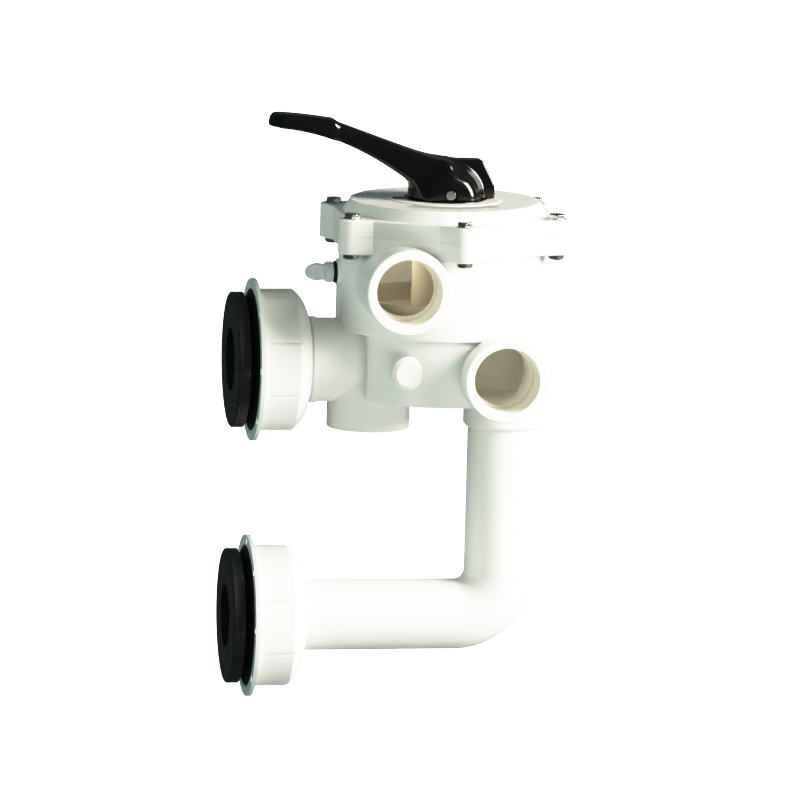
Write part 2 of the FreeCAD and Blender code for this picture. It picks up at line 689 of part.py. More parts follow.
def gauge_plug():
    """Screwed bleed plug with a thumb wing."""
    hub_x = PLUG_SEAT_X - 3.0
    wing_x = hub_x - 7.0
    tip_x = -123.5
    shank = rod(PLUG_THREAD_R, V(-82, 0, 0), V(hub_x - 1, 0, 0))
    hub = round_end(rod(9.3, V(wing_x, 0, 0), V(hub_x, 0, 0)), V(wing_x, 0, 0), 1.5)
    lens = face_xz([
        (wing_x + 3, -6.0), ((-113.5, -7.6), (tip_x + 2, -2.5)), ((tip_x, 0), (tip_x + 2, 2.5)),
        ((-113.5, 7.6), (wing_x + 3, 6.0)),
    ])
    wing = lens.extrude(V(0, 4.6, 0))
    wing.translate(V(0, -2.3, 0))
    plug = joined([shank, hub, wing])
    plug.translate(V(0, 0, PLUG_Z))
    return plug


def plug_o_ring():
    """Seal under the bleed plug's head."""
    return o_ring(8.3, 1.45, V(PLUG_SEAT_X - 1.5, 0, PLUG_Z), X_AXIS)


def write(node, shape):
    """Move one node into the part's frame, export it and report whether it is sound."""
    shape.translate(V(-RING_X[0], 0, 0))
    print(node, len(shape.Solids), "solids, valid:", shape.isValid(), "volume:", round(shape.Volume))
    shape.exportStep("parts/" + node + ".step")


def main():
    os.makedirs("parts", exist_ok=True)
    singles = (
        valve_body, cover, dial_plate, cover_bolts, cover_nuts, cover_washers, cover_o_ring,
        spider_gasket, rotor, stem_o_rings, spring, spring_washer, pointer_washer, handle_pin,
        handle, upper_tailpiece, return_pipe, gauge_plug, plug_o_ring,
    )
    for make in singles:
        write(make.__name__, make())
    write("lower_tailpiece", at_lower_port(lower_tailpiece()))
    for make in (union_nut, union_o_ring, flange_ring, tank_gasket, tank_connector):
        write("upper_" + make.__name__, make())
        write("lower_" + make.__name__, at_lower_port(make()))


main()
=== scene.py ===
import json
import math

import bmesh
import bpy
import numpy as np
from mathutils import Matrix, Vector

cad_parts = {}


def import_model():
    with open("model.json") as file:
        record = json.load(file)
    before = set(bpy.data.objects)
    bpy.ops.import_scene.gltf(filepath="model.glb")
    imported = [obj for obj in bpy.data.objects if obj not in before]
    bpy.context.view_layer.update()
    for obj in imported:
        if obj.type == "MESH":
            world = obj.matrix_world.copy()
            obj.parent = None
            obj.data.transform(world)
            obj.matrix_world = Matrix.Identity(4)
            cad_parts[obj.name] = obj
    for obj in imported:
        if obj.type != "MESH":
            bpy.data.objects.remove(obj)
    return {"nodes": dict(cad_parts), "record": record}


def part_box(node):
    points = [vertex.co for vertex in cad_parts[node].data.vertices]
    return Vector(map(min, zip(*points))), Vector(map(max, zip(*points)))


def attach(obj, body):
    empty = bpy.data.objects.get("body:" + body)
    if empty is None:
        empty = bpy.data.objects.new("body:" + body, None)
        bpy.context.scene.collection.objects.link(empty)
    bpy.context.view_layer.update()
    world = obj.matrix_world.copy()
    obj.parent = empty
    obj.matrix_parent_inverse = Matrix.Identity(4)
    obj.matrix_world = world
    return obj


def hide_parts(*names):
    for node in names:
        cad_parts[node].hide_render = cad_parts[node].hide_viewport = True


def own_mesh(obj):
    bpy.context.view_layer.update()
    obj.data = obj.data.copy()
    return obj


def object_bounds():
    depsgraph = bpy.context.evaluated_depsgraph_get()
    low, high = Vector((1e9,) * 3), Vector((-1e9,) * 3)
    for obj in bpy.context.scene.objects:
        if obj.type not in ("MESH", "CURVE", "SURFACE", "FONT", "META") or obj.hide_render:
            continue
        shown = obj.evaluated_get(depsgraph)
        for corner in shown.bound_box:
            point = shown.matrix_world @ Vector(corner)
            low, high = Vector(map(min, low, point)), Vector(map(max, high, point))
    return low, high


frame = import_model()
CAD_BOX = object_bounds()
RECORD = frame["record"]
MM = 0.001


def middle(node):
    """Centre of a CAD node's box."""
    low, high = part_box(node)
    return (low + high) / 2


STEM = middle("dial_plate")
DIAL_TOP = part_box("dial_plate")[1].z


# ---------------------------------------------------------------- materials

# Colours are linear. Noise scales are per metre. Relief and edge sizes are metres.
NOISE_LOW = 0.3
NOISE_HIGH = 0.7
# Painted glow: how far past a port's wall the warm colour reaches, and how soft its edge is.
GLOW_PAINT_MARGIN = 0.0005
GLOW_PAINT_FADE = 0.0005
BEVEL_SAMPLES = 4
# Front ports whose bores are coloured with the painted glow.
GLOW_PAINTED_PORTS = ("pump_port", "return_port")


class Look:
    """A new material's node tree, with short calls for the nodes used here."""

    def __init__(self, name, roughness, **inputs):
        self.material = bpy.data.materials.new(name)
        self.material.use_nodes = True
        self.tree = self.material.node_tree
        self.shader = self.tree.nodes["Principled BSDF"]
        self.shader.inputs["Roughness"].default_value = roughness
        for key, value in inputs.items():
            self.shader.inputs[key.replace("_", " ")].default_value = value
        self.place = self.tree.nodes.new("ShaderNodeTexCoord").outputs["Object"]

    def link(self, source, target):
        self.tree.links.new(source, target)

    def noise(self, scale, detail=3.0, stretch=None):
        """Noise by position in metres; stretch gives it a grain along one axis."""
        node = self.tree.nodes.new("ShaderNodeTexNoise")
        node.inputs["Scale"].default_value = scale
        node.inputs["Detail"].default_value = detail
        place = self.place
        if stretch:
            mapping = self.tree.nodes.new("ShaderNodeMapping")
            mapping.inputs["Scale"].default_value = stretch
            self.link(place, mapping.inputs["Vector"])
            place = mapping.outputs["Vector"]
        self.link(place, node.inputs["Vector"])
        return node.outputs["Fac"]

    def spread(self, factor, low, high):
        """Map the usual span of a noise factor to a range of values."""
        node = self.tree.nodes.new("ShaderNodeMapRange")
        node.inputs["From Min"].default_value = NOISE_LOW
        node.inputs["From Max"].default_value = NOISE_HIGH
        node.inputs["To Min"].default_value = low
        node.inputs["To Max"].default_value = high
        self.link(factor, node.inputs["Value"])
        return node.outputs["Result"]

    def mix(self, factor, one, two):
        """Blend two colours, each a colour or a socket."""
        node = self.tree.nodes.new("ShaderNodeMix")
        node.data_type = "RGBA"
        self.link(factor, node.inputs["Factor"])
        for value, socket in ((one, node.inputs["A"]), (two, node.inputs["B"])):
            if isinstance(value, tuple):
                socket.default_value = value + (1.0,)
            else:
                self.link(value, socket)
        return node.outputs["Result"]

    def near_axis(self, centre, axis, radius):
        """1 closer to an axis than a radius in metres, and 0 further out."""
        away = self.tree.nodes.new("ShaderNodeVectorMath")
        away.operation = "SUBTRACT"
        away.inputs[1].default_value = centre
        self.link(self.place, away.inputs[0])
        cross = self.tree.nodes.new("ShaderNodeVectorMath")
        cross.operation = "CROSS_PRODUCT"
        cross.inputs[1].default_value = Vector(axis).normalized()
        self.link(away.outputs["Vector"], cross.inputs[0])
        length = self.tree.nodes.new("ShaderNodeVectorMath")
        length.operation = "LENGTH"
        self.link(cross.outputs["Vector"], length.inputs[0])
        node = self.tree.nodes.new("ShaderNodeMapRange")
        node.inputs["From Min"].default_value = radius + GLOW_PAINT_FADE
        node.inputs["From Max"].default_value = radius
        self.link(length.outputs["Value"], node.inputs["Value"])
        return node.outputs["Result"]

    def colour(self, source):
        self.link(source, self.shader.inputs["Base Color"])

    def roughness(self, source):
        self.link(source, self.shader.inputs["Roughness"])

    def relief(self, heights, round_edge=0.0):
        """Bump from (height, distance) pairs, over edges rounded by a radius."""
        normal = None
        if round_edge:
            bevel = self.tree.nodes.new("ShaderNodeBevel")
            bevel.samples = BEVEL_SAMPLES
            bevel.inputs["Radius"].default_value = round_edge
            normal = bevel.outputs["Normal"]
        for height, distance in heights:
            bump = self.tree.nodes.new("ShaderNodeBump")
            bump.inputs["Distance"].default_value = distance
            self.link(height, bump.inputs["Height"])
            if normal:
                self.link(normal, bump.inputs["Normal"])
            normal = bump.outputs["Normal"]
        self.link(normal, self.shader.inputs["Normal"])


def white_plastic():
    """Satin ABS: warm white, with a rippled skin and soft edges; the bores of the front ports carry a
    painted warm glow.
    """
    look = Look("white_plastic", 0.3, Subsurface_Weight=0.12, Subsurface_Scale=0.004)
    look.shader.inputs["Subsurface Radius"].default_value = (1.0, 0.85, 0.6)
    skin = look.mix(look.noise(14, 4), (0.815, 0.815, 0.785), (0.83, 0.83, 0.80))
    # Painted glow: the bores of the front ports turn beige, for the warm light that shines through their
    # walls.
    for mount in RECORD["mounts"]:
        if mount["name"] in GLOW_PAINTED_PORTS:
            reach = mount["dims"]["r_mm"] * MM + GLOW_PAINT_MARGIN
            inside = look.near_axis(mount["pos_m"], mount["axis"], reach)
            skin = look.mix(inside, skin, (0.80, 0.785, 0.70))
    look.colour(skin)
    look.roughness(look.spread(look.noise(60, 3), 0.29, 0.36))
    look.relief([(look.noise(45, 2), 0.00012)], 0.0007)
    return look.material


def black_gloss():
    """High-gloss black moulding with a slightly uneven skin."""
    look = Look("black_gloss", 0.12, Specular_IOR_Level=0.45)
    look.colour(look.mix(look.noise(40, 4), (0.0015, 0.0015, 0.0018), (0.003, 0.003, 0.0032)))
    look.roughness(look.spread(look.noise(120, 4), 0.1, 0.17))
    look.relief([(look.noise(35, 2), 0.0003), (look.noise(900, 2), 0.00001)])
    return look.material


def stainless():
    """Plain stainless steel, finely brushed."""
    look = Look("stainless", 0.25, Metallic=1.0)
    look.colour(look.mix(look.noise(300, 4), (0.42, 0.43, 0.43), (0.62, 0.62, 0.61)))
    grain = look.noise(500, 4, stretch=(1, 1, 9))
    look.roughness(look.spread(grain, 0.14, 0.26))
    look.relief([(grain, 0.00003)], 0.0003)
    return look.material


def rubber():
    """Matt black rubber."""
    look = Look("rubber", 0.7)
    look.colour(look.mix(look.noise(150, 5), (0.002, 0.002, 0.002), (0.005, 0.005, 0.005)))
    look.roughness(look.spread(look.noise(400, 3), 0.55, 0.85))
    look.relief([(look.noise(1200, 3), 0.00005)], 0.0003)
    return look.material


def rotor_plastic():
    """Beige filled plastic with a satin skin."""
    look = Look("rotor_plastic", 0.45)
    look.colour(look.mix(look.noise(90, 5), (0.40, 0.36, 0.27), (0.47, 0.42, 0.32)))
    look.roughness(look.spread(look.noise(200, 3), 0.38, 0.6))
    look.relief([(look.noise(700, 3), 0.00004)], 0.0004)
    return look.material


def grey_plastic():
    """Light grey satin plastic of the bleed plug."""
    look = Look("grey_plastic", 0.35, Subsurface_Weight=0.08, Subsurface_Scale=0.003)
    look.colour(look.mix(look.noise(120, 4), (0.47, 0.49, 0.48), (0.54, 0.56, 0.55)))
    look.roughness(look.spread(look.noise(250, 4), 0.3, 0.45))
    look.relief([(look.noise(900, 2), 0.00003)])
    return look.material


def ring_green_grey():
    """Pale green-grey ring with a thin clear coat."""
    look = Look("ring_green_grey", 0.25, Coat_Weight=0.3)
    look.colour(look.mix(look.noise(80, 4), (0.56, 0.65, 0.61), (0.66, 0.74, 0.70)))
    look.roughness(look.spread(look.noise(220, 3), 0.29, 0.38))
    look.relief([(look.noise(500, 3), 0.00004)], 0.0004)
    return look.material


def black_connector():
    """Matt black moulded fitting."""
    look = Look("black_connector", 0.5)
    look.colour(look.mix(look.noise(70, 4), (0.003, 0.003, 0.003), (0.007, 0.007, 0.0075)))
    look.roughness(look.spread(look.noise(300, 4), 0.4, 0.65))
    look.relief([(look.noise(800, 3), 0.00006)], 0.0005)
    return look.material


def dial_print():
    """Satin light grey ring that carries the marks."""
    look = Look("dial_print", 0.4)
    look.colour(look.mix(look.noise(60, 4), (0.66, 0.67, 0.65), (0.72, 0.73, 0.71)))
    look.roughness(look.spread(look.noise(300, 3), 0.3, 0.5))
    look.relief([(look.noise(900, 2), 0.00003)], 0.0003)
    return look.material


def ink():
    """Grey printing ink, slightly uneven."""
    look = Look("ink", 0.5)
    look.colour(look.mix(look.noise(400, 5), (0.34, 0.35, 0.34), (0.42, 0.43, 0.42)))
    look.roughness(look.spread(look.noise(500, 3), 0.4, 0.6))
    look.relief([(look.noise(1500, 2), 0.00001)])
    return look.material


LOOKS = {make.__name__: make() for make in (
    white_plastic, black_gloss, stainless, rubber, rotor_plastic, grey_plastic,
    ring_green_grey, black_connector, dial_print, ink,
)}


def dress_cad():
    """Give every CAD node the material of its record slot."""
    for part in RECORD["subparts"]:
        mesh = frame["nodes"][part["node"]].data
        mesh.materials.clear()
        mesh.materials.append(LOOKS[part["material_slot"]])


# ---------------------------------------------------------------- mesh tools

def add_piece(name, points, faces, slot_name, body, look=None):
    """New smooth mesh in metres that rides on a body."""
    mesh = bpy.data.meshes.new(name)
    mesh.from_pydata([tuple(p) for p in points], [], [tuple(f) for f in faces])
    mesh.validate()
    mesh.shade_smooth()
    mesh.materials.append(LOOKS[look or slot_name])
    piece = bpy.data.objects.new(name, mesh)
    bpy.context.scene.collection.objects.link(piece)
    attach(piece, body)
    return piece


def smooth_max(a, b, k):
    """Larger of two fields, with a rounded corner of about size k."""
    h = np.maximum(k - np.abs(a - b), 0) / k
    return np.maximum(a, b) + h * h * k / 4


def smooth_min(a, b, k):
    """Smaller of two fields, with a fillet of about size k."""
    return -smooth_max(-a, -b, k)


CORNERS = [(i, j, k) for i in (0, 1) for j in (0, 1) for k in (0, 1)]


def cell_points(value, low, step):
    """One point in each grid cell that the surface crosses, and each cell's index."""
    size = [n - 1 for n in value.shape]

    def at(corner):
        return value[tuple(slice(c, c + n) for c, n in zip(corner, size))]

    inside = sum((at(c) < 0).astype(int) for c in CORNERS)
    cells = np.argwhere((inside > 0) & (inside < 8))
    total = np.zeros(cells.shape)
    count = np.zeros(len(cells))
    for one in CORNERS:
        for two in CORNERS:
            if sum(two) != sum(one) + 1 or any(b < a for a, b in zip(one, two)):
                continue
            va = value[tuple((cells + one).T)]
            vb = value[tuple((cells + two).T)]
            cross = (va < 0) != (vb < 0)
            share = np.where(cross, va / np.where(cross, va - vb, 1), 0)
            spot = np.array(one) + share[:, None] * (np.array(two) - np.array(one))
            total += np.where(cross[:, None], spot, 0)
            count += cross
    index = np.full(size, -1)
    index[tuple(cells.T)] = np.arange(len(cells))
    return low + step * (cells + total / count[:, None]), index


def surface_quads(value, index):
    """One quad around each grid edge that the surface crosses, facing outwards."""
    quads = []
    for axis in range(3):
        ahead = np.roll(value, -1, axis)
        crossed = (value < 0) != (ahead < 0)
        for side in range(3):
            edge = [slice(None)] * 3
            edge[side] = slice(-1, None)
            crossed[tuple(edge)] = False
            if side != axis:
                edge[side] = slice(0, 1)
                crossed[tuple(edge)] = False
        spots = np.argwhere(crossed)
        u = np.eye(3, dtype=int)[(axis + 1) % 3]
        v = np.eye(3, dtype=int)[(axis + 2) % 3]
        ring = [index[tuple((spots - a * u - b * v).T)] for a, b in ((1, 1), (0, 1), (0, 0), (1, 0))]
        ring = np.stack(ring, 1)
        inward = value[tuple(spots.T)] > 0
        ring[inward] = ring[inward][:, ::-1]
        quads.append(ring)
    return np.concatenate(quads)


SETTLE_ROUNDS = 4
LEAST_SLOPE = 0.2


def solid_from(field, low, high, step):
    """Closed mesh of the region where a field is negative: points and faces in mm."""
    low = np.array(low, float)
    axes = [np.arange(a, b + step, step) for a, b in zip(low, high)]
    value = field(*np.meshgrid(*axes, indexing="ij"))
    points, index = cell_points(value, low, step)
    quads = surface_quads(value, index)
    small = step / 8
    for _ in range(SETTLE_ROUNDS):
        here = field(*points.T)
        slope = np.stack([
            (field(*(points + small * d).T) - field(*(points - small * d).T)) / (2 * small)
            for d in np.eye(3)
        ], 1)
        steepness = np.maximum((slope ** 2).sum(1), LEAST_SLOPE)
        shift = here[:, None] * slope / steepness[:, None]
        points = points - np.clip(shift, -step / 2, step / 2)
    return points, quads


def from_stem(points):
    """Points in mm about the rotor axis, as metres in the frame."""
    return np.array(points) * MM + np.array([STEM.x, STEM.y, 0])


def cut_with(piece, name, points, faces):
    """Cut a closed mesh, given in metres, out of a piece."""
    mesh = bpy.data.meshes.new(name)
    mesh.from_pydata([tuple(p) for p in points], [], [tuple(f) for f in faces])
    tool = bpy.data.objects.new(name, mesh)
    bpy.context.scene.collection.objects.link(tool)
    cut = piece.modifiers.new(name, "BOOLEAN")
    cut.operation = "DIFFERENCE"
    cut.solver = "EXACT"
    cut.object = tool
    result = bpy.data.meshes.new_from_object(piece.evaluated_get(bpy.context.evaluated_depsgraph_get()))
    piece.modifiers.clear()
    piece.data = result
    bpy.data.objects.remove(tool)


def turned_mesh(profile, centre, axis, count):
    """Closed lathe mesh: profile is (distance along axis, radius), with both ends on the axis."""
    axis = Vector(axis).normalized()
    side = axis.orthogonal().normalized()
    up = axis.cross(side)
    points = [centre + axis * profile[0][0]]
    for along, radius in profile[1:-1]:
        for k in range(count):
            turn = 2 * math.pi * k / count
            ring = side * math.cos(turn) + up * math.sin(turn)
            points.append(centre + axis * along + ring * radius)
    points.append(centre + axis * profile[-1][0])
    faces = []
    rows = len(profile) - 2
    for k in range(count):
        n = (k + 1) % count
        faces.append((0, 1 + n, 1 + k))
        for row in range(rows - 1):
            a = 1 + row * count
            faces.append((a + k, a + n, a + count + n, a + count + k))
        a = 1 + (rows - 1) * count
        faces.append((a + k, a + n, len(points) - 1))
    return points, faces


def rod_profile(start, end, radius):
    """Lathe profile of a plain rod between two distances along its axis."""
    return [(start, 0), (start, radius), (end, radius), (end, 0)]


# ---------------------------------------------------------------- handle

# Sizes in mm about the rotor axis, with the arm along -X.
HANDLE_BOTTOM = 144.5
DOME_R = 33.2
DOME_Z = 147.0
DOME_FLATTER = 1.06
BOSS_R = 23.5
SIDE_Y = 30.0
HEEL_HALF = 9.0
HEEL_END = 43.0
HEEL_TOP = 179.3
HEEL_FALL = 0.022
# The heel's sloped end: its direction outwards in x and z, and a point on it.
HEEL_OUT = (0.892, 0.452)
HEEL_CORNER = (42.8, 157.2)
GRIP_HALF = 14.4
GRIP_START = 98.5
TIP_CENTRE = 144.0
UNDERSIDE = np.polyfit([48.0, 99.6, 150.0], [169.2, 195.5, 206.5], 2)
GRIP_TOP = np.polyfit([103.0, 127.0, 151.0], [213.2, 216.4, 218.2], 2)
CROWN = 1.2
ARM_NARROWER = 1.2
FLARE_START = 90.0
FLARE_RUN = 70.0
FLARE_WIDTH = 8.5
TIP_SLANT = 0.25
TIP_HEIGHT = 212
ARM_TOP = 212
ARM_END = 150
ARM_RISE = 0.36
ARM_START_TOP = 178.6
ARM_BEND_AT = 10.0
ARM_BEND = 7.0
HANDLE_LOW = (-160, -42, 142)
HANDLE_HIGH = (48, 42, 220)
HANDLE_STEP = 1.0
STEM_ROOM_LOW = (-16, -9.1, 140)
STEM_ROOM_HIGH = (16, 9.1, 167)
ROUND_SIDES = 64
# Sizes in metres: the pin's play, the round room in the base, and how far the cutters reach.
PIN_PLAY = 0.00005
PIN_REACH = 0.05
BASE_ROOM_R = 0.015
BASE_ROOM_DEPTH = 0.0034
BASE_REACH = 0.02


def bar(reach, y, z, top, half, corner):
    """Bar along the arm between the underside curve and a top curve."""
    bottom = np.polyval(UNDERSIDE, reach)
    crown = CROWN * np.clip(1 - (y / half) ** 2, 0, 1)
    thick = (top + crown - bottom) / 2
    level = (np.abs(z - (top + crown + bottom) / 2) - thick) * 0.93
    past_tip = np.maximum(reach - TIP_CENTRE + TIP_SLANT * (z - TIP_HEIGHT), 0)
    wide = np.hypot(past_tip, y) - half
    return smooth_max(level, wide, corner)


def arm_field(x, y, z):
    """Sloping arm that widens into the dome, with the raised grip at its far end."""
    reach = -x
    flare = np.clip((FLARE_START - reach) / FLARE_RUN, 0, 1.3)
    half = GRIP_HALF - ARM_NARROWER + FLARE_WIDTH * flare ** 2
    top = ARM_START_TOP + ARM_RISE * ARM_BEND * np.logaddexp(0, (reach - ARM_BEND_AT) / ARM_BEND)
    arm = bar(reach, y, z, np.minimum(top, ARM_TOP), half, 5.0)
    arm = smooth_max(arm, reach - ARM_END, 4)
    arm = smooth_max(arm, -4.0 - reach, 10.0)
    grip = bar(reach, y, z, np.polyval(GRIP_TOP, reach), GRIP_HALF, 5.0)
    grip = smooth_max(grip, (GRIP_START - reach) * 0.9, 5.0)
    return smooth_min(arm, grip, 2.5)


def dome_field(x, y, z):
    """Half-round base, flat at the pin's ends, with an arched boss there."""
    rise = np.maximum(z - DOME_Z, 0) * DOME_FLATTER
    dome = np.sqrt(x ** 2 + y ** 2 + rise ** 2) - DOME_R
    dome = smooth_max(dome, np.abs(y) - SIDE_Y, 4.0)
    arch = np.hypot(x, z - HANDLE_BOTTOM) - BOSS_R
    arch = smooth_max(arch, np.abs(y) - SIDE_Y, 9.0)
    return smooth_min(dome, arch, 5.0)


def heel_field(x, y, z):
    """Fin behind the dome, with a sloped end."""
    slope = HEEL_OUT[0] * (x - HEEL_CORNER[0]) + HEEL_OUT[1] * (z - HEEL_CORNER[1])
    end = smooth_max(x - HEEL_END, slope, 1.5)
    top = HEEL_FALL * x + z - HEEL_TOP
    block = smooth_max(smooth_max(end, top, 2.5), np.abs(y) - HEEL_HALF, 2.0)
    return smooth_max(block, -x, 2.0)


def handle_field(x, y, z):
    """Whole outside of the handle, above its flat base."""
    body = smooth_min(dome_field(x, y, z), arm_field(x, y, z), 7.0)
    body = smooth_min(body, heel_field(x, y, z), 3.0)
    return smooth_max(body, HANDLE_BOTTOM - z, 1.0)


def box_mesh(low, high):
    """Closed box, in metres about the rotor axis."""
    points = [(x, y, z) for x in (low[0], high[0]) for y in (low[1], high[1]) for z in (low[2], high[2])]
    faces = [(0, 1, 3, 2), (4, 6, 7, 5), (0, 4, 5, 1), (2, 3, 7, 6), (0, 2, 6, 4), (1, 5, 7, 3)]
    return from_stem(points), faces


def handle():
    """Black lever handle with its pin hole and recesses, and the room for the stem."""
    points, faces = solid_from(handle_field, HANDLE_LOW, HANDLE_HIGH, HANDLE_STEP)
    piece = add_piece("lever_handle", from_stem(points), faces, "black_gloss", "lever")
    pin = middle("handle_pin")
    pin_r = (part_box("handle_pin")[1].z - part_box("handle_pin")[0].z) / 2
    recess = [
        (-0.0022, 0),
        (-0.0022, pin_r + 0.0016),
        (-0.0005, pin_r + 0.0021),
        (0.004, pin_r + 0.003),
        (0.004, 0),
    ]
    for side in (-1, 1):
        face = Vector((pin.x, STEM.y + side * SIDE_Y * MM, pin.z))
        cut_with(piece, "pin_recess", *turned_mesh(recess, face, (0, side, 0), ROUND_SIDES))
    hole = rod_profile(-PIN_REACH, PIN_REACH, pin_r + PIN_PLAY)
    cut_with(piece, "pin_hole", *turned_mesh(hole, pin, (0, 1, 0), ROUND_SIDES))
    cut_with(piece, "stem_room", *box_mesh(STEM_ROOM_LOW, STEM_ROOM_HIGH))
    base = Vector((STEM.x, STEM.y, HANDLE_BOTTOM * MM))
    base_room = rod_profile(-BASE_REACH, BASE_ROOM_DEPTH, BASE_ROOM_R)
    cut_with(piece, "stem_bore", *turned_mesh(base_room, base, (0, 0, 1), ROUND_SIDES))
    piece.data.set_sharp_from_angle(angle=math.radians(40))
    piece.data.materials.clear()
    piece.data.materials.append(LOOKS["black_gloss"])
    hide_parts("handle")


# ---------------------------------------------------------------- bleed plug

# Sizes in mm about the rotor axis, at the plug's height. Each part is centred on its own x.
HUB_X = -101.9
HUB_R = 9.3
HUB_HALF = 3.5
WING_X = -113.4
WING_LONG = 10.1
WING_HIGH = 7.7
WING_HALF = 2.6
WING_DISH = 0.9
NECK_X = -108
NECK_HALF = (4, 3.0, 6.0)
SHANK_X = -90.2
SHANK_R = 6.35
SHANK_HALF = 8.2
PLUG_PITCH = 1.337
PLUG_RIDGE = 0.28
PLUG_LOW = (-125, -11, -11)
PLUG_HIGH = (-80, 11, 11)
PLUG_STEP = 0.4


def plug_field(x, y, z):
    """Round hub with a dished thumb wing and a threaded shank, about the plug's axis."""
    around = np.hypot(y, z)
    hub = smooth_max(around - HUB_R, np.abs(x - HUB_X) - HUB_HALF, 2.0)
    lens = np.sqrt(((x - WING_X) / WING_LONG) ** 2 + (z / WING_HIGH) ** 2)
    cheek = np.abs(y) - WING_HALF + WING_DISH * np.clip(1.1 - lens, 0, 1)
    wing = smooth_max((lens - 1) * 7.5, cheek, 1.8)
    neck = smooth_max(np.abs(z) - NECK_HALF[2], np.abs(y) - NECK_HALF[1], 2.0)
    neck = smooth_max(neck, np.abs(x - NECK_X) - NECK_HALF[0], 1)
    head = smooth_min(smooth_min(hub, wing, 3.0), neck, 3.0)
    ridge = PLUG_RIDGE * np.cos(2 * np.pi * x / PLUG_PITCH - np.arctan2(z, y))
    shank = smooth_max(around - SHANK_R - ridge, np.abs(x - SHANK_X) - SHANK_HALF, 0.8)
    return np.minimum(head, shank)


def bleed_plug():
    """Thumb-turned bleed plug."""
    points, faces = solid_from(plug_field, PLUG_LOW, PLUG_HIGH, PLUG_STEP)
    height = middle("gauge_plug").z / MM
    points = points + np.array([0, 0, height])
    piece = add_piece("thumb_plug", from_stem(points), faces, "grey_plastic", "bleed_plug")
    piece.data.set_sharp_from_angle(angle=math.radians(50))
    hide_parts("gauge_plug")


# ---------------------------------------------------------------- spring

# Sizes in metres.
SPRING_WIRE_R = 0.002
SPRING_TURNS = 6
SPRING_END_DROP = 0.00515
SPRING_STEPS = 36
WIRE_SIDES = 14


def spring():
    """Coil spring with closed ends, built at one length on the carriage; the mesh does not shorten as the
    rotor lifts.
    """
    low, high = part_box("spring")
    wire = SPRING_WIRE_R
    coil = (high.y - low.y) / 2 - wire
    rise = high.z - low.z - 2 * wire
    count = SPRING_TURNS * SPRING_STEPS
    middles = []
    for k in range(count + 1):
        share = k / count
        turn = 2 * math.pi * SPRING_TURNS * share
        height = low.z + wire + rise * share - SPRING_END_DROP * math.sin(2 * math.pi * share)
        middles.append(Vector((STEM.x + coil * math.cos(turn), STEM.y + coil * math.sin(turn), height)))
    points = []
    for k, centre in enumerate(middles):
        along = (middles[min(k + 1, count)] - middles[max(k - 1, 0)]).normalized()
        out = Vector((centre.x - STEM.x, centre.y - STEM.y, 0)).normalized()
        up = along.cross(out).normalized()
        for j in range(WIRE_SIDES):
            round_wire = 2 * math.pi * j / WIRE_SIDES
            points.append(centre + (out * math.cos(round_wire) + up * math.sin(round_wire)) * wire)
    last = count * WIRE_SIDES
    faces = [tuple(reversed(range(WIRE_SIDES))), tuple(last + j for j in range(WIRE_SIDES))]
    for k in range(count):
        for j in range(WIRE_SIDES):
            n = (j + 1) % WIRE_SIDES
            a = k * WIRE_SIDES
            faces.append((a + j, a + n, a + WIRE_SIDES + n, a + WIRE_SIDES + j))
    piece = add_piece("coil_spring", points, faces, "stainless", "carriage")
    piece.data.set_sharp_from_angle(angle=math.radians(60))
    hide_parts("spring")
    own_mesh(piece)


# ---------------------------------------------------------------- threads

# Sizes in metres, and steps around one turn.
THREAD_PITCH = 0.002309
THREAD_CREST = 0.00074
THREAD_STEPS = 72
THREAD_RUNOUT = 40
THREAD_MARGIN = 1.6 * THREAD_PITCH
# The feet of the ridge are sunk in the port's wall, and its crest stands proud of it.
THREAD_FOOT = 0.00012
THREAD_FOOT_HALF = 0.00095
THREAD_CREST_HALF = 0.0003
THREAD_SINK = 0.00002


def port_thread(mount):
    """Helical ridge of a pipe thread on the wall of a port."""
    axis = Vector(mount["axis"]).normalized()
    side = axis.orthogonal().normalized()
    up = axis.cross(side)
    centre = Vector(mount["pos_m"])
    wall = mount["dims"]["r_mm"] * MM
    length = mount["dims"]["length_mm"] * MM - THREAD_MARGIN
    count = int(THREAD_STEPS * length / THREAD_PITCH)
    points = []
    for k in range(count + 1):
        turn = 2 * math.pi * k / THREAD_STEPS
        fade = min(1, k / THREAD_RUNOUT, (count - k) / THREAD_RUNOUT)
        out = side * math.cos(turn) + up * math.sin(turn)
        start = centre + axis * (length * (k / count - 0.5))
        foot = wall + THREAD_FOOT
        crest = wall + (-THREAD_CREST * fade + THREAD_SINK)
        profile = [
            (-THREAD_FOOT_HALF, foot),
            (-THREAD_CREST_HALF, crest),
            (THREAD_CREST_HALF, crest),
            (THREAD_FOOT_HALF, foot),
        ]
        for along, radius in profile:
            points.append(start + axis * along * (0.3 + 0.7 * fade) + out * radius)
    faces = [(3, 2, 1, 0)]
    for k in range(count):
        a = 4 * k
        for j in range(4):
            n = (j + 1) % 4
            faces.append((a + j, a + n, a + 4 + n, a + 4 + j))
    last = 4 * count
    faces.append((last, last + 1, last + 2, last + 3))
    piece = add_piece(mount["name"] + "_thread", points, faces, "white_plastic", "root")
    piece.data.set_sharp_from_angle(angle=math.radians(35))


def port_threads():
    """Threads in the three open ports."""
    for mount in RECORD["mounts"]:
        if mount["kind"] == "threaded_hole":
            port_thread(mount)


# ---------------------------------------------------------------- dial marks

# Thickness and numeral size in metres.
INK_THICK = 0.00012
NUMERAL_SIZE = 0.0085
# Radii in mm and angles in degrees about the rotor axis.
NUMERAL_R = 72
TICK_RADII = (68.5, 78)
TICK_HALF = 0.35
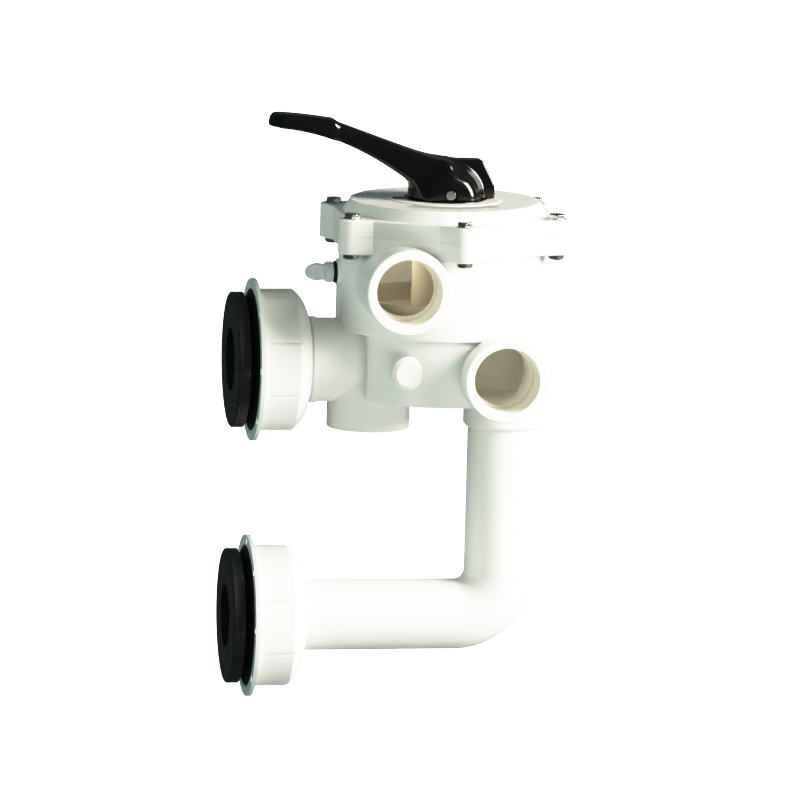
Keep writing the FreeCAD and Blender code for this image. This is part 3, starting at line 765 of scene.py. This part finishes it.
# The grey field: a darker grey band on the front of the dial, just outside the central boss, made with the
# ink material.
FIELD_RADII = (51.5, 66.5)
FIELD_ANGLES = (-131, -49)
FIELD_STEPS = 48
POSITIONS = 6
POSITION_STEP = 60
FRONT = -90


def on_dial(radius, turn, lift=0.0):
    """Place on the dial at a radius in mm, an angle in radians and a height in metres."""
    radius = radius * MM
    return Vector((STEM.x + radius * math.cos(turn), STEM.y + radius * math.sin(turn), DIAL_TOP + lift))


def ring_patch(radii, angles, steps):
    """Thin closed patch on the dial between two radii (mm) and two angles (degrees)."""
    start, end = angles
    points = []
    for k in range(steps + 1):
        turn = math.radians(start + (end - start) * k / steps)
        for radius in radii:
            for lift in (-INK_THICK / 2, INK_THICK):
                points.append(on_dial(radius, turn, lift))
    faces = [(0, 2, 3, 1)]
    for k in range(steps):
        a = 4 * k
        for one, two in ((0, 1), (1, 3), (3, 2), (2, 0)):
            faces.append((a + one, a + two, a + 4 + two, a + 4 + one))
    a = 4 * steps
    faces.append((a, a + 1, a + 3, a + 2))
    return points, faces


def numeral(text, angle):
    """A numeral's mesh on the dial, upright to someone facing it from outside."""
    curve = bpy.data.curves.new("numeral_" + text, "FONT")
    curve.body = text
    curve.size = NUMERAL_SIZE
    curve.extrude = INK_THICK
    curve.align_x = "CENTER"
    curve.align_y = "CENTER"
    holder = bpy.data.objects.new("numeral", curve)
    bpy.context.scene.collection.objects.link(holder)
    bpy.context.view_layer.update()
    mesh = bpy.data.meshes.new_from_object(holder.evaluated_get(bpy.context.evaluated_depsgraph_get()))
    bpy.data.objects.remove(holder)
    weld = bmesh.new()
    weld.from_mesh(mesh)
    bmesh.ops.remove_doubles(weld, verts=weld.verts, dist=1e-6)
    weld.to_mesh(mesh)
    weld.free()
    turn = math.radians(angle)
    spot = on_dial(NUMERAL_R, turn)
    mesh.transform(Matrix.Translation(spot) @ Matrix.Rotation(turn + math.pi / 2, 4, "Z"))
    points = [tuple(v.co) for v in mesh.vertices]
    return points, [tuple(p.vertices) for p in mesh.polygons]


def dial_marks():
    """Six numbered positions, their ticks and the grey field at the front."""
    shapes = [ring_patch(FIELD_RADII, FIELD_ANGLES, FIELD_STEPS)]
    for k in range(POSITIONS):
        angle = POSITION_STEP * k + FRONT
        shapes.append(numeral(str(k + 1), angle + POSITION_STEP / 2))
        shapes.append(ring_patch(TICK_RADII, (angle - TICK_HALF, angle + TICK_HALF), 1))
    points = []
    faces = []
    for new_points, new_faces in shapes:
        start = len(points)
        points += new_points
        faces += [tuple(i + start for i in face) for face in new_faces]
    piece = add_piece("dial_marks", points, faces, "dial_print", "root", look="ink")
    piece.data.set_sharp_from_angle(angle=math.radians(30))


# ---------------------------------------------------------------- studio

CAMERA_AZIMUTH = math.radians(-9.66)
CAMERA_ELEVATION = math.radians(9.59)
CAMERA_ROLL = math.radians(1.47)
CAMERA_DISTANCE = 5.309
CAMERA_LENS = 269.85
AIM_SHIFT = Vector((0.0071, 0, 0.0051))

# Azimuth from the front towards +X and elevation in degrees, then metres and watts.
# name: (azimuth, elevation, distance, width, height, power, colour)
LIGHTS = {
    "key": (62, 22, 2.2, 1.0, 1.2, 175, (1.0, 0.93, 0.83)),
    "low_right": (30, -25, 2.4, 1.4, 1.0, 12, (1.0, 0.93, 0.87)),
    "low_front": (10, -35, 2.4, 1.6, 1.2, 29, (0.93, 1.0, 0.93)),
    "left": (-90, 10, 2.4, 1.4, 1.2, 18, (0.86, 1.0, 0.93)),
    "low_left": (-65, -5, 2.4, 1.2, 1.2, 5, (0.5, 1.0, 0.7)),
    "front_left": (-40, 15, 2.4, 1.4, 1.2, 8, (1.0, 1.0, 0.97)),
    "back": (180, 30, 2.4, 2.0, 1.4, 11, (0.85, 0.95, 0.95)),
    "top": (-10, 62, 2.0, 1.6, 1.0, 5, (0.8, 1.0, 0.8)),
}
WORLD_DIFFUSE = (0.012, 0.016, 0.016)
WORLD_GLOSSY = (0.06, 0.08, 0.08)
GLOW_COLOUR = (1.0, 0.92, 0.74)
# port: (place from the middle of the threaded length in metres, power) of each glow
GLOWS = {
    "pump_port": [((0, 0, 0), 0.0045), ((-0.015, 0.097, 0.027), 0.09)],
    "return_port": [((0, 0, 0), 0.0025), ((0, 0.03, 0), 0.003)],
}
GLOW_RADIUS = 0.006
# Only these lights show in reflections.
MIRRORED = ("key",)

# Highlights roll off above this scene brightness, and reach white at the limit.
SHOULDER = 0.6
WHITE_LIMIT = 2.5
CURVE_LEVELS = (0.3, SHOULDER, 0.75, 0.9, 1.1, 1.4, 1.9)
PAPER_SHINE = WHITE_LIMIT * 1.2

FLOOR_GAP = 0.001
FLOOR_FLAT = 6.0
FLOOR_BEND = 3.0
WALL_HEIGHT = 3.0
FLAT_RINGS = 6
BEND_RINGS = 12
FLOOR_SIDES = 96


def direction(azimuth, elevation):
    """Unit vector from the object, with azimuth 0 at the front (-Y) and 90 at +X."""
    flat = math.cos(elevation)
    return Vector((math.sin(azimuth) * flat, -math.cos(azimuth) * flat, math.sin(elevation)))


def lights(centre):
    """Soft area lights aimed at the object."""
    for name, (azimuth, elevation, distance, width, height, power, colour) in LIGHTS.items():
        away = direction(math.radians(azimuth), math.radians(elevation))
        data = bpy.data.lights.new(name, "AREA")
        data.shape = "RECTANGLE"
        data.size = width
        data.size_y = height
        data.energy = power
        data.color = colour
        lamp = bpy.data.objects.new(name, data)
        lamp.location = centre + away * distance
        lamp.rotation_euler = away.to_track_quat("Z", "Y").to_euler()
        lamp.visible_glossy = name in MIRRORED
        bpy.context.scene.collection.objects.link(lamp)


def glow(name, place, power):
    """Small warm light for what shines through the moulding's walls."""
    data = bpy.data.lights.new(name, "POINT")
    data.energy = power
    data.color = GLOW_COLOUR
    data.shadow_soft_size = GLOW_RADIUS
    lamp = bpy.data.objects.new(name, data)
    lamp.location = place
    lamp.visible_camera = False
    lamp.visible_glossy = False
    bpy.context.scene.collection.objects.link(lamp)


def inner_glow():
    """Glow in the two front ports and in the chambers behind them."""
    for mount in RECORD["mounts"]:
        for place, power in GLOWS.get(mount["name"], []):
            glow(mount["name"] + "_glow", Vector(mount["pos_m"]) + Vector(place), power)


def world():
    """Dim cool surroundings, brighter in reflections than in shading."""
    surroundings = bpy.data.worlds.new("surroundings")
    surroundings.use_nodes = True
    tree = surroundings.node_tree
    back = tree.nodes["Background"]
    path = tree.nodes.new("ShaderNodeLightPath")
    mix = tree.nodes.new("ShaderNodeMix")
    mix.data_type = "RGBA"
    mix.inputs["A"].default_value = WORLD_DIFFUSE + (1.0,)
    mix.inputs["B"].default_value = WORLD_GLOSSY + (1.0,)
    tree.links.new(path.outputs["Is Glossy Ray"], mix.inputs["Factor"])
    tree.links.new(mix.outputs["Result"], back.inputs["Color"])
    bpy.context.scene.world = surroundings


def stage_look():
    """Pale seamless paper: shines white to the camera and stays dim to the object."""
    look = Look("pale_paper", 0.9)
    look.colour(look.mix(look.noise(3, 2), (0.80, 0.80, 0.80), (0.82, 0.82, 0.82)))
    path = look.tree.nodes.new("ShaderNodeLightPath")
    shine = look.tree.nodes.new("ShaderNodeMath")
    shine.operation = "MULTIPLY"
    shine.inputs[1].default_value = PAPER_SHINE
    look.link(path.outputs["Is Camera Ray"], shine.inputs[0])
    look.shader.inputs["Emission Color"].default_value = (1, 1, 1, 1)
    look.link(shine.outputs["Value"], look.shader.inputs["Emission Strength"])
    return look.material


def floor(centre):
    """Round pale floor that curves up into a wall all round."""
    level = CAD_BOX[0][2] - FLOOR_GAP
    flat = FLOOR_FLAT
    bend = FLOOR_BEND
    rings = [(flat * k / FLAT_RINGS, level) for k in range(1, FLAT_RINGS + 1)]
    for k in range(1, BEND_RINGS + 1):
        turn = math.radians(90 * k / BEND_RINGS)
        rings.append((flat + bend * math.sin(turn), level + bend * (1 - math.cos(turn))))
    rings.append((flat + bend, level + bend + WALL_HEIGHT))
    count = FLOOR_SIDES
    points = [(centre.x, centre.y, level)]
    for radius, height in rings:
        for k in range(count):
            turn = 2 * math.pi * k / count
            points.append((centre.x + radius * math.cos(turn), centre.y + radius * math.sin(turn), height))
    faces = [(0, 1 + k, 1 + (k + 1) % count) for k in range(count)]
    for row in range(len(rings) - 1):
        a = 1 + row * count
        for k in range(count):
            n = (k + 1) % count
            faces.append((a + k, a + count + k, a + count + n, a + n))
    mesh = bpy.data.meshes.new("studio_floor")
    mesh.from_pydata(points, [], faces)
    mesh.shade_smooth()
    mesh.materials.append(stage_look())
    paper = bpy.data.objects.new("studio_floor", mesh)
    bpy.context.scene.collection.objects.link(paper)
    paper.visible_diffuse = False
    paper.visible_glossy = False
    paper.visible_shadow = False


def camera(centre):
    """Long-lens view from the front left, slightly above."""
    data = bpy.data.cameras.new("camera")
    data.lens = CAMERA_LENS
    data.sensor_width = 36
    data.clip_end = 50
    shot = bpy.data.objects.new("camera", data)
    away = direction(CAMERA_AZIMUTH, CAMERA_ELEVATION)
    shot.location = centre + AIM_SHIFT + away * CAMERA_DISTANCE
    aim = away.to_track_quat("Z", "Y").to_matrix().to_4x4()
    roll = Matrix.Rotation(CAMERA_ROLL, 4, "Z")
    shot.rotation_euler = (aim @ roll).to_euler()
    bpy.context.scene.collection.objects.link(shot)
    bpy.context.scene.camera = shot


def soft_highlights():
    """Display curve: straight up to the shoulder, then a smooth roll-off to white."""
    settings = bpy.context.scene.view_settings
    settings.view_transform = "Standard"
    settings.use_curve_mapping = True
    mapping = settings.curve_mapping
    mapping.white_level = (WHITE_LIMIT,) * 3
    curve = mapping.curves[3]
    curve.points[0].location = (0, 0)
    curve.points[1].location = (1, 1)
    for level in CURVE_LEVELS:
        over = max(level - SHOULDER, 0) / (1 - SHOULDER)
        shown = min(level, SHOULDER) + (1 - SHOULDER) * (1 - math.exp(-over))
        point = curve.points.new(level / WHITE_LIMIT, shown)
        if level <= SHOULDER:
            point.handle_type = "VECTOR"
    mapping.update()


def studio():
    """Floor, lights, surroundings and camera."""
    centre = (Vector(CAD_BOX[0]) + Vector(CAD_BOX[1])) / 2
    floor(centre)
    lights(centre)
    inner_glow()
    world()
    camera(centre)
    soft_highlights()


dress_cad()
handle()
bleed_plug()
spring()
port_threads()
dial_marks()
studio()
